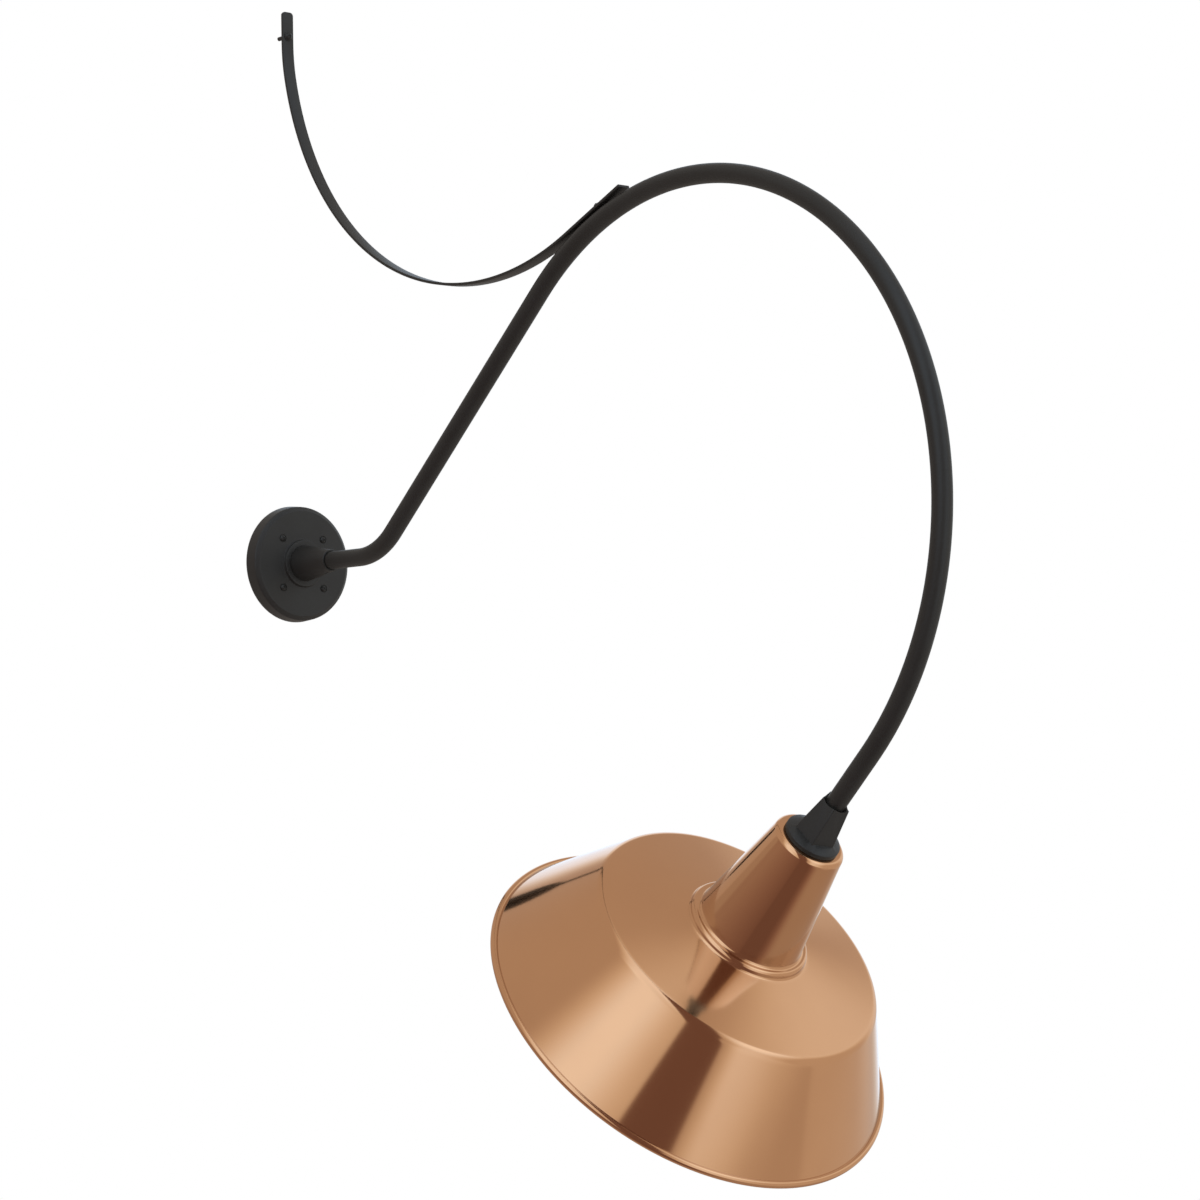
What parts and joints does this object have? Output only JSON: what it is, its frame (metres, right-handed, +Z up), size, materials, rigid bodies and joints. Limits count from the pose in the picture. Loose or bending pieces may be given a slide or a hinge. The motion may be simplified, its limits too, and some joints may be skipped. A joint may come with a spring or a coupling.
{
  "type": "barn light",
  "caption": "Gooseneck barn light: round wall plate, bent steel pipe arm with a flat support strap, and a spun copper shade over its lamp holder and bulb.",
  "frame": {"origin": "centre of the wall plate's back, on the wall plane", "axes": "+X out of the wall, +Z up; the pipe bends in the plane Y = 0"},
  "size_m": [1.101, 0.464, 1.3618],
  "materials": {
    "black": "satin black powder coat",
    "zinc": "zinc plated",
    "copper": "polished copper",
    "brass": "plain brass",
    "porcelain": "glazed porcelain",
    "rubber": "matt black rubber",
    "green_screw": "green lacquer",
    "green_lead": "green insulation",
    "dark_lead": "black insulation",
    "pale_lead": "white insulation",
    "solder": "dull solder",
    "dark_glass": "black glass",
    "glass": "frosted glass",
    "tungsten": "dark tungsten wire"
  },
  "bodies": {
    "wall_plate": {"wall_plate": "black", "wall_gasket": "rubber", "plate_screws": "black", "ground_screw": "green_screw", "ground_lead": "green_lead"},
    "arm": {"arm_hub": "black", "hub_washer": "zinc", "hub_locknut": "zinc", "hub_set_screw": "zinc", "gooseneck_pipe": "black", "strap_bolt": "black", "strap_bolt_washer": "zinc", "live_lead": "dark_lead", "neutral_lead": "pale_lead"},
    "strap": {"support_strap": "black", "strap_wall_screw": "black", "strap_wall_washer": "zinc"},
    "shade": {"shade_hub": "black", "shade_set_screw": "zinc", "shade": "copper", "rim_wire": "zinc", "shade_gasket": "rubber", "shade_locknut": "zinc", "socket_cup": "zinc", "cup_screws": "zinc", "socket_porcelain": "porcelain", "socket_shell": "brass", "centre_contact": "brass", "terminal_screws": "brass", "socket_leads": "dark_lead"},
    "bulb_foot": {"bulb_tip": "solder"},
    "bulb": {"bulb_insulator": "dark_glass", "bulb_base": "zinc", "bulb_glass": "glass", "bulb_stem": "glass", "bulb_filament": "tungsten"}
  },
  "joints": [
    {"name": "arm_turn", "type": "hinge", "parent": "wall_plate", "child": "arm", "pos_m": [0, 0, 0], "axis": [1, 0, 0], "range_deg": [-90, 90]},
    {"name": "strap_swing", "type": "hinge", "parent": "arm", "child": "strap", "pos_m": [0.57569, 0, 0.35125], "axis": [-0.4067, 0, 0.9135], "range_deg": [-40, 40]},
    {"name": "shade_turn", "type": "hinge", "parent": "arm", "child": "shade", "pos_m": [0.96675, 0, -0.25155], "axis": [-0.7133, 0, -0.7009], "range_deg": [-90, 90]},
    {"name": "bulb_travel", "type": "slide", "parent": "shade", "child": "bulb_foot", "axis": [-0.7133, 0, -0.7009], "range_m": [0, 0.0182]},
    {"name": "bulb_turn", "type": "hinge", "parent": "bulb_foot", "child": "bulb", "pos_m": [0.96675, 0, -0.25155], "axis": [-0.7133, 0, -0.7009], "range_deg": [0, 1800]}
  ],
  "couplings": [
    {"joint": "bulb_travel", "follows": "bulb_turn", "m_per_rad": 0.00057757}
  ]
}
